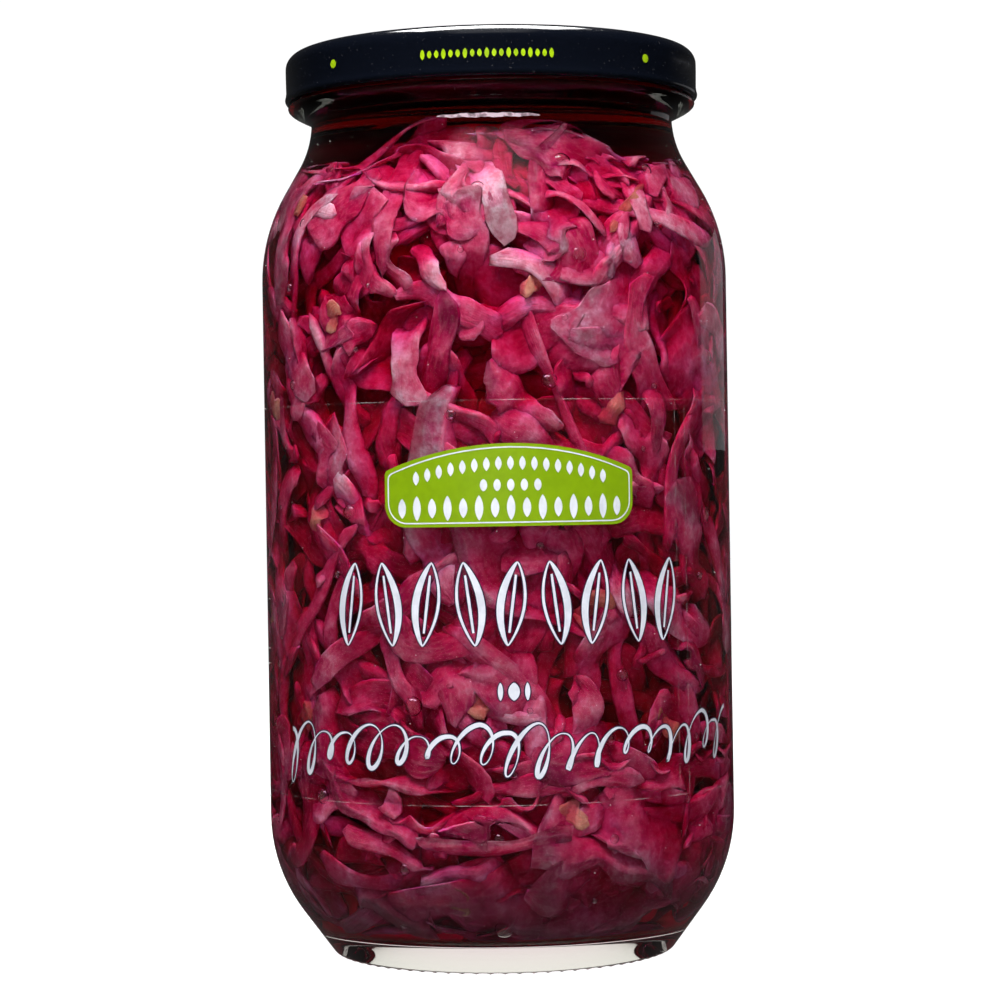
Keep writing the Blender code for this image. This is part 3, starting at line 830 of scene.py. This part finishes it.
def film():
    """The clear film with its overlap, and the cut edges as pale strips, a painted highlight where they catch the
    light.
    """
    shape = bmesh.new()
    angles = [math.tau * k / 180 for k in range(180)]
    angles = sorted([a for a in angles if not SEAM_START < a < SEAM_END] + [SEAM_START, SEAM_END])
    rings = []
    for angle in angles:
        outer = FILM_OUTER + (0.04 * MM if SEAM_START <= angle <= SEAM_END else 0)
        corners = [(FILM_INNER, LABEL_BASE), (outer, LABEL_BASE), (outer, LABEL_TOP), (FILM_INNER, LABEL_TOP)]
        rings.append([shape.verts.new(round_jar(angle, radius, height)) for radius, height in corners])
    for here, there in zip(rings, rings[1:] + rings[:1]):
        for k in range(4):
            shape.faces.new((here[k], here[k - 1], there[k - 1], there[k]))
    mesh = mesh_of("film", shape, math.radians(40))
    linked("film", mesh, "label_film", film_material(), "label_film")
    edges = bmesh.new()
    for middle in (LABEL_BASE, LABEL_TOP):
        heights = (middle - 0.5 * FILM_EDGE, middle + 0.5 * FILM_EDGE)
        ladder(edges, [[round_jar(math.tau * k / 180, INK_FRONT, z) for z in heights] for k in range(181)])
    for middle in (SEAM_START, SEAM_END):
        sides = [middle + side * 0.5 * FILM_EDGE / BODY_RADIUS for side in (-1, 1)]
        rise = [LABEL_BASE + (LABEL_TOP - LABEL_BASE) * k / 40 for k in range(41)]
        ladder(edges, [[round_jar(angle, INK_FRONT, z) for angle in sides] for z in rise])
    linked("film_edges", mesh_of("film_edges", edges), "label_film", film_edge_material())


def filled(shape, outline, radius, turn=PRINT_TURN, step=0.8 * MM):
    """A filled outline of (across, height) points, bent round the jar at a radius."""
    part = bmesh.new()
    part.faces.new([part.verts.new((x, 0, z)) for x, z in outline])
    low, high = min(x for x, _ in outline), max(x for x, _ in outline)
    for k in range(1, int((high - low) / step) + 1):
        geometry = part.verts[:] + part.edges[:] + part.faces[:]
        cut = (low + k * step, 0, 0)
        bmesh.ops.bisect_plane(part, geom=geometry, dist=1e-7, plane_co=cut, plane_no=(1, 0, 0))
    for face in part.faces:
        corners = [round_jar(turn + v.co.x / BODY_RADIUS, radius, v.co.z) for v in face.verts]
        shape.faces.new([shape.verts.new(c) for c in corners])
    part.free()


def stroke(shape, path, width, radius, step=0.25 * MM):
    """A line of ink along a path of (across, height) points; width is one number or one for each point."""
    path = np.array(path)
    lengths = np.concatenate([[0], np.cumsum(np.hypot(*np.diff(path, axis=0).T))])
    even = np.linspace(0, lengths[-1], int(lengths[-1] / step) + 2)
    path = np.stack([np.interp(even, lengths, path[:, axis]) for axis in (0, 1)], axis=1)
    if np.size(width) > 1:
        width = np.interp(np.linspace(0, 1, len(path)), np.linspace(0, 1, np.size(width)), width)
    way = np.gradient(path, axis=0)
    way /= np.maximum(np.linalg.norm(way, axis=1, keepdims=True), 1e-9)
    aside = np.stack([-way[:, 1], way[:, 0]], axis=1) * np.reshape(width, (-1, 1)) * 0.5
    pairs = zip(path + aside, path - aside)
    ladder(shape, [[round_jar(PRINT_TURN + x / BODY_RADIUS, radius, z) for x, z in pair] for pair in pairs])


def lozenge(middle, width, height, power):
    """An upright leaf outline round a middle point, pointed more by a greater power."""
    points = []
    for k in range(32):
        a = math.tau * k / 32
        x = 0.5 * width * math.copysign(abs(math.cos(a)) ** (1 + power), math.cos(a))
        points.append((middle[0] + x, middle[1] + 0.5 * height * math.sin(a)))
    return points


def badge_outline(shrink=0.0):
    """The badge: straight sides, rounded corners and an arched top, drawn in by a margin."""
    half, low = 25.0 * MM - shrink, 88.0 * MM + shrink
    side_top, crown = 98.0 * MM - shrink, 103.9 * MM - shrink
    corner, shoulder, slope = 4.4 * MM - 0.6 * shrink, 1.2 * MM, math.radians(66)
    right = arc((half - corner, low + corner), corner, -QUARTER, 0, 8)
    right += arc((half - shoulder, side_top), shoulder, 0, slope, 4)
    top = side_top + shoulder * math.sin(slope)
    reach = half - shoulder * (1 - math.cos(slope))
    spans = [reach * math.cos(math.pi * k / 24) for k in range(1, 24)]
    arch = [(x, top + (crown - top) * (1 - (x / reach) ** 2)) for x in spans]
    return right + arch + [(-x, z) for x, z in right[::-1]]


def label_print():
    """A green badge and white marks: generic shapes of the label's colours and sizes."""
    green, white, dark = bmesh.new(), bmesh.new(), bmesh.new()
    filled(green, badge_outline(), INK_BACK)
    line = badge_outline(0.75 * MM)
    stroke(white, line + line[:2], 0.26 * MM, INK_FRONT)

    def mark(x, z, width, height, power, shape=white, radius=INK_FRONT):
        """A lozenge, with its place and size in millimetres."""
        filled(shape, lozenge((x * MM, z * MM), width * MM, height * MM, power), radius)

    for k in range(17):
        x = (k - 8) * 2.3
        mark(x, 100.1 - 2.9 * (x / 19) ** 2, 1.25, 2.7, 1.0)
    for k in range(5):
        mark((k - 2) * 2.6, 95.9, 1.4, 2.3, 0.2)
    for k in range(15):
        mark((k - 7) * 3.05, 91.6, 1.6, 4.8 if k % 2 else 3.8, 0.6)
    for k in range(LEAF_MARKS):
        leaf_mark(white, dark, (k - 0.5 * (LEAF_MARKS - 1)) * LEAF_SPACING, -1 if k % 2 else 1)
    for x, wide in ((-2.6, 1.0), (0.0, 2.2), (2.6, 1.0)):
        mark(x, 56.4, wide + 0.5, 3.9, 0.4, dark, INK_BACK)
        mark(x, 56.4, wide, 3.4, 0.4)
    flourish(white, dark)
    for name, shape, ink, colour, darker, scale in (
        ("badge_green", green, "green_ink", (0.185, 0.310, 0.001), (0.168, 0.285, 0.001), 500.0),
        ("marks_white", white, "white_ink", (0.64, 0.66, 0.73), (0.54, 0.56, 0.63), 420.0),
        ("marks_dark", dark, "dark_ink", (0.020, 0.010, 0.040), (0.012, 0.006, 0.03), 420.0),
    ):
        linked(name, mesh_of(name, shape), "label_film", ink_material(ink, colour, darker, scale))


def leaf_mark(white, dark, middle, lean):
    """One tall open leaf of thick and thin strokes with a vein, leaning left or right."""
    t = np.linspace(0, 1, 40)
    height = LEAF_FOOT + LEAF_HEIGHT * t
    slope = 0.13 * lean * (height - LEAF_FOOT - 0.5 * LEAF_HEIGHT)
    bulge = 0.5 * LEAF_WIDTH * np.sin(math.pi * t) ** 0.8
    for side, thick in ((-1, 1.20 * MM), (1, 0.30 * MM), (0, 0.30 * MM)):
        pen = 0.25 * MM + thick * np.sin(math.pi * t) ** 0.7
        path = np.stack([middle + slope + side * lean * bulge, height], axis=1)
        if side == 0:
            path, pen = path[6:34], pen[6:34]
        stroke(dark, path, pen + 0.42 * MM, INK_BACK)
        stroke(white, path, pen, INK_FRONT)


def flourish(white, dark):
    """A running line of uneven loops across the foot of the label."""
    draw = random.Random(11)
    t = np.linspace(0, 1, 1600)
    knots = np.linspace(0, 1, SCRIPT_TURNS + 1)
    sizes = [draw.choice((0.55, 0.6, 0.7, 0.75, 1.25)) for _ in knots]
    drops = [draw.choice((0, 0, 0.2, 0.9)) for _ in knots]
    swell, drop = np.interp(t, knots, sizes), np.interp(t, knots, drops)
    turn = math.tau * SCRIPT_TURNS * t
    rise = 3.4 * swell * np.cos(turn) - 2.6 * drop * (1 - np.cos(turn)) + 1.0 * (t - 0.5)
    across = -53 + 107 * t + 2.1 * swell * np.sin(turn) + 0.3 * rise
    path = np.stack([across * MM, SCRIPT_HEIGHT + rise * MM], axis=1)
    pen = (0.56 + 0.36 * np.sin(turn + 0.9)) * MM
    stroke(dark, path, pen + 0.46 * MM, INK_BACK)
    stroke(white, path, pen, INK_FRONT)


def lid_marks():
    """Two green dots and a row of small green marks on the lid's skirt."""
    shape = bmesh.new()
    radius = SKIRT_RADIUS + 0.05 * MM
    for angle in LID_DOTS:
        filled(shape, lozenge((0, LID_DOT_HEIGHT), 1.9 * MM, 1.7 * MM, 0.0), radius, angle)
    for k in range(LID_MARKS):
        x = (k - (LID_MARKS - 1) // 2) * math.radians(1.9) * BODY_RADIUS
        size = 1.5 * MM if k % 3 else 2.0 * MM
        filled(shape, lozenge((x, LID_MARK_HEIGHT), 1.0 * MM, size, 0.5), radius, math.radians(-0.9))
    ink = ink_material("lid_green_ink", (0.30, 0.46, 0.004), (0.22, 0.35, 0.003), 900.0)
    linked("lid_marks", mesh_of("lid_marks", shape), "lid", ink)


def specks():
    """Fine dust on the glass and the film."""
    draw = random.Random(5)
    outline = np.array([p for p in jar_outside() if 4 * MM < p[1] < BEAD_BASE])
    shape = bmesh.new()
    for _ in range(260):
        height = draw.uniform(20, 168) * MM
        radius = float(np.interp(height, outline[:, 1], outline[:, 0])) + 0.12 * MM
        matrix = Matrix.Translation(round_jar(draw.uniform(0, math.tau), radius, height))
        bmesh.ops.create_icosphere(shape, subdivisions=1, radius=draw.uniform(0.04, 0.13) * MM, matrix=matrix)
    ink = ink_material("dust", (0.75, 0.70, 0.70), (0.45, 0.40, 0.42), 2000.0)
    linked("dust", mesh_of("dust", shape), "jar_glass", ink)


def floor():
    """A pale plain floor. What shines sees only the part of it near the jar."""
    nodes = Nodes("floor")
    away = nodes.add("VectorMath", {0: nodes.place()}, operation="LENGTH").outputs["Value"]
    near = nodes.ramp(nodes.math("MULTIPLY", away, 2.5), (0.12, (0.06, 0.05, 0.05)), (0.5, 0.004))
    span = {"Value": nodes.place("Y"), "From Min": 0.2, "From Max": 0.9, "To Max": SHINE_BACK}
    far = nodes.add("MapRange", span).outputs[0]
    near = nodes.add("VectorMath", {0: near, 1: far}, operation="ADD").outputs[0]
    path = nodes.add("LightPath")
    seen = nodes.math("MAXIMUM", path.outputs["Is Camera Ray"], path.outputs["Is Transmission Ray"])
    tint = nodes.mixed(path.outputs["Is Transmission Ray"], (1, 1, 1), THROUGH_GLASS)
    light = nodes.add("Emission", {"Color": tint, "Strength": seen})
    matt = nodes.add("BsdfDiffuse", {"Color": (0.35, 0.35, 0.35)})
    pale = nodes.add("AddShader", {0: light.outputs[0], 1: matt.outputs[0]})
    dim = nodes.add("Emission", {"Color": near, "Strength": 1.0})
    reflected = nodes.math("SUBTRACT", path.outputs["Is Glossy Ray"], path.outputs["Is Transmission Ray"])
    shape = bmesh.new()
    bmesh.ops.create_circle(shape, cap_ends=True, segments=96, radius=FLOOR_RADIUS)
    staged("floor", shape, nodes.done(nodes.between(reflected, pale, dim)))


def facing(place, aim):
    """The turn that points something at a place to another point."""
    return (Vector(aim) - Vector(place)).to_track_quat("-Z", "Y").to_euler()


def card(name, place, aim, size, material, unseen):
    """A card of the studio, unseen by some kinds of ray."""
    shape = bmesh.new()
    bmesh.ops.create_grid(shape, x_segments=1, y_segments=1, size=0.5)
    result = staged(name, shape, material)
    result.location, result.rotation_euler, result.scale = place, facing(place, aim), (*size, 1.0)
    for ray in unseen:
        setattr(result, f"visible_{ray}", False)


def cards():
    """A card overhead with soft edges, that shines on the shoulder, and a grey one that shines on lid and neck."""
    nodes = Nodes("softbox")
    spans = [nodes.math("ABSOLUTE", nodes.place(axis)) for axis in ("X", "Y")]
    fades = [nodes.ramp(span, (0.26, 1.0), (0.5, 0.0)) for span in spans]
    glow = nodes.mixed(1.0, *fades, "MULTIPLY")
    soft = nodes.done(nodes.add("Emission", {"Color": glow, "Strength": 0.8}))
    card("softbox", (0.0, -0.30, 0.78), (0, 0, 0.15), (0.52, 0.62), soft, ("camera", "diffuse", "shadow"))
    nodes = Nodes("side_card")
    grey = nodes.done(nodes.add("Emission", {"Color": (0.9, 0.9, 0.95), "Strength": 0.3}))
    unseen = ("camera", "diffuse", "transmission", "shadow")
    card("side_card", (0.46, 0.46, 0.19), (0, 0, 0.18), (0.40, 0.16), grey, unseen)


def world():
    """White behind the jar, dimmer for its lighting, and nearly dark for what reflects, but for its back."""
    nodes = Nodes("studio", world=True)
    direction = nodes.add("TexCoord").outputs["Generated"]
    back = nodes.add("SeparateXYZ", {"Vector": direction}).outputs["Y"]
    span = {"Value": back, "From Min": 0.3, "To Min": SHINE_FRONT, "To Max": SHINE_BACK}
    shine = nodes.add("MapRange", span, interpolation_type="SMOOTHSTEP").outputs[0]
    path = nodes.add("LightPath").outputs
    level = AMBIENT
    for ray, value in (("Is Glossy Ray", shine), ("Is Transmission Ray", WHITE), ("Is Camera Ray", WHITE)):
        level = nodes.add("Mix", {0: path[ray], 2: level, 3: value}).outputs[0]
    tint = nodes.mixed(path["Is Transmission Ray"], (1, 1, 1), THROUGH_GLASS)
    bpy.context.scene.world = nodes.done(nodes.add("Background", {"Color": tint, "Strength": level}))


def lamp(name, place, aim, size, power, shines=False, only=None, never=None):
    """A softbox turned to a point. It lights, or else only shines, on all pieces, on one only, or on all but one."""
    data = bpy.data.lights.new(name, "AREA")
    data.shape = "RECTANGLE"
    data.size, data.size_y = size
    data.energy = power
    result = bpy.data.objects.new(name, data)
    result.location, result.rotation_euler = place, facing(place, aim)
    result.visible_camera = False
    result.visible_diffuse = not shines
    result.visible_glossy = result.visible_transmission = shines
    bpy.context.scene.collection.objects.link(result)
    if only or never:
        group = bpy.data.collections.new(name)
        group.objects.link(only or never)
        result.light_linking.receiver_collection = group
        if never:
            group.collection_objects[0].light_linking.link_state = "EXCLUDE"
        # Off, or the glass in front of a bubble would keep the glint off it.
        data.cycles.use_multiple_importance_sampling = not only


def camera():
    """The camera, which rolls because the jar leans in the photograph."""
    data = bpy.data.cameras.new("camera")
    data.lens = CAMERA_LENS
    data.sensor_width = 36.0
    result = bpy.data.objects.new("camera", data)
    place = Matrix.Translation((CAMERA_ASIDE, -CAMERA_DISTANCE, CAMERA_HEIGHT))
    look = Matrix.Rotation(QUARTER - CAMERA_PITCH, 4, "X")
    result.matrix_world = place @ look @ Matrix.Rotation(-CAMERA_ROLL, 4, "Z")
    bpy.context.scene.collection.objects.link(result)
    bpy.context.scene.camera = result


def main():
    jar_glass()
    brine()
    heap()
    pockets = bubbles()
    painted_highlight_line()
    film()
    label_print()
    lid_top = lid()
    lid_marks()
    specks()
    floor()
    world()
    cards()
    lamp("key", (-0.02, -0.30, 0.66), (0, 0, 0.10), (0.36, 0.30), 9.6)
    lamp("fill", (-0.05, -1.20, 0.35), (0, 0, 0.09), (0.60, 0.60), 3.9)
    lamp("back", (0.35, 1.00, 0.50), (0, 0, 0.09), (0.60, 0.60), 4.6)
    lamp("overhead", (0.0, 0.07, 0.62), (0, 0.07, 0), (0.36, 0.26), 8.8, shines=True, never=lid_top)
    lamp("top", (0.16, 0.20, 0.62), (0.16, 0.20, 0), (0.30, 0.30), 1.1, shines=True, only=lid_top)
    lamp("sparkle", (-0.20, -0.45, 0.72), (0, 0, 0.10), (0.80, 0.12), 60.0, shines=True, only=pockets)
    lamp("sparkle_low", (0.40, -0.60, -0.35), (0, 0, 0.10), (0.30, 0.10), 12.0, shines=True, only=pockets)
    camera()
    bpy.context.scene.view_settings.view_transform = "Standard"


main()
